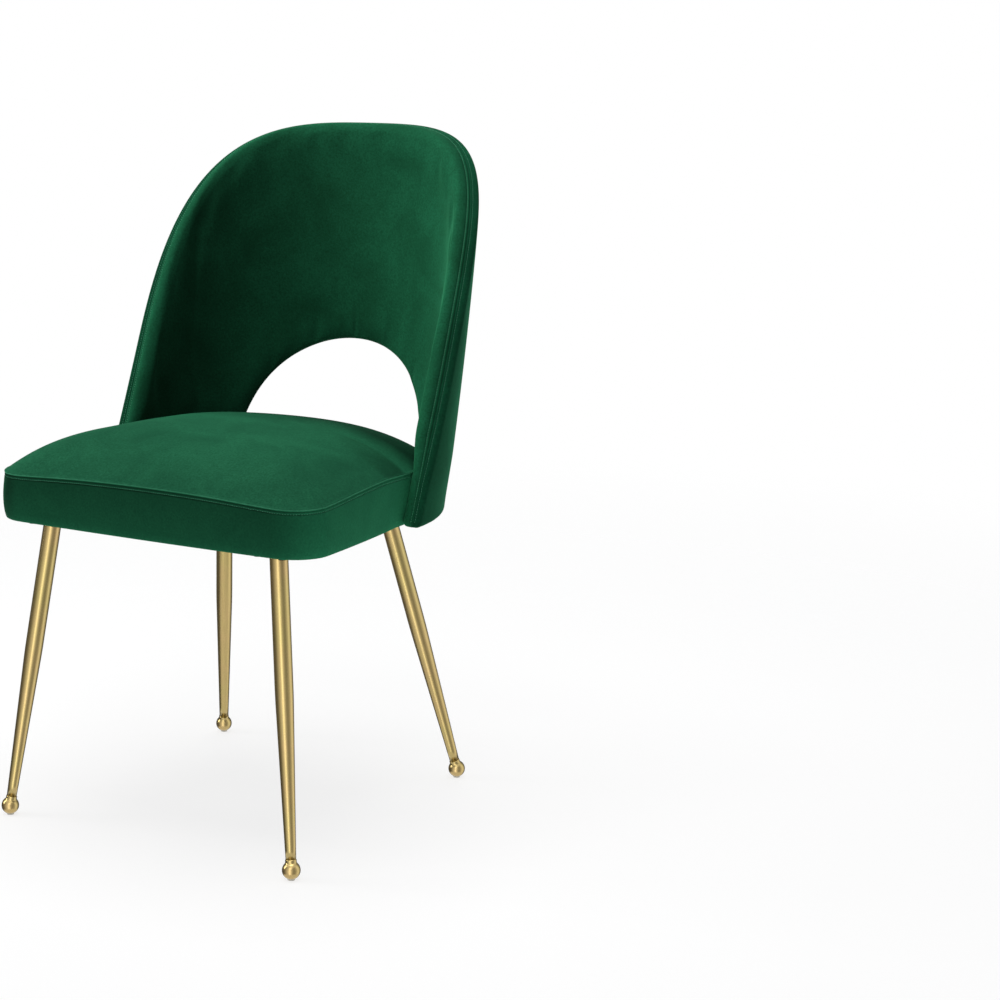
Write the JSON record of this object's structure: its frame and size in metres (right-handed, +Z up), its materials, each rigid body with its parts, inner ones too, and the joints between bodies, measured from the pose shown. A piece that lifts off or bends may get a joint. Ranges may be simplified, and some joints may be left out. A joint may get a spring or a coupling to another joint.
{
  "type": "dining chair",
  "caption": "Upholstered dining chair with a wrap-round velvet back, an arched cut-out above the seat, a crowned boxed seat and splayed brass-finish legs with ball feet.",
  "frame": {"origin": "on the floor, under the middle of the chair's overall footprint", "axes": "+Z up; the chair faces -Y, so its back is towards +Y; +X towards the right side seen from the front"},
  "size_m": [0.4844, 0.5378, 0.855],
  "materials": {
    "velvet_back": "matte short-pile velvet",
    "velvet_seat": "matte short-pile velvet",
    "foam": "matte open-cell foam",
    "plywood": "matte unfinished plywood",
    "hardwood": "matte sawn hardwood",
    "dust_cover": "matte non-woven fabric",
    "brushed_brass": "satin brushed brass plating on steel",
    "zinc_steel": "satin zinc plating",
    "nylon": "matte nylon"
  },
  "bodies": {
    "root": {"seat_board": "plywood", "seat_foam": "foam", "seat_top_cover": "velvet_seat", "seat_border_cover": "velvet_seat", "seat_dust_cover": "dust_cover", "seat_staples": "zinc_steel", "back_plywood": "plywood", "back_inner_foam": "foam", "back_outer_foam": "foam", "back_inner_cover": "velvet_back", "back_outer_cover": "velvet_back", "back_bolts": "zinc_steel", "back_washers": "zinc_steel", "back_t_nuts": "zinc_steel", "back_block_left_front": "hardwood", "back_block_left_rear": "hardwood", "back_block_right_front": "hardwood", "back_block_right_rear": "hardwood", "block_screws": "zinc_steel", "leg_tube_front_left": "brushed_brass", "leg_tube_front_right": "brushed_brass", "leg_tube_rear_left": "brushed_brass", "leg_tube_rear_right": "brushed_brass", "ball_foot_front_left": "brushed_brass", "ball_foot_front_right": "brushed_brass", "ball_foot_rear_left": "brushed_brass", "ball_foot_rear_right": "brushed_brass", "leg_plate_front_left": "brushed_brass", "leg_plate_front_right": "brushed_brass", "leg_plate_rear_left": "brushed_brass", "leg_plate_rear_right": "brushed_brass", "leg_bolts": "zinc_steel", "leg_t_nuts": "zinc_steel", "floor_glides": "nylon"}
  },
  "joints": []
}
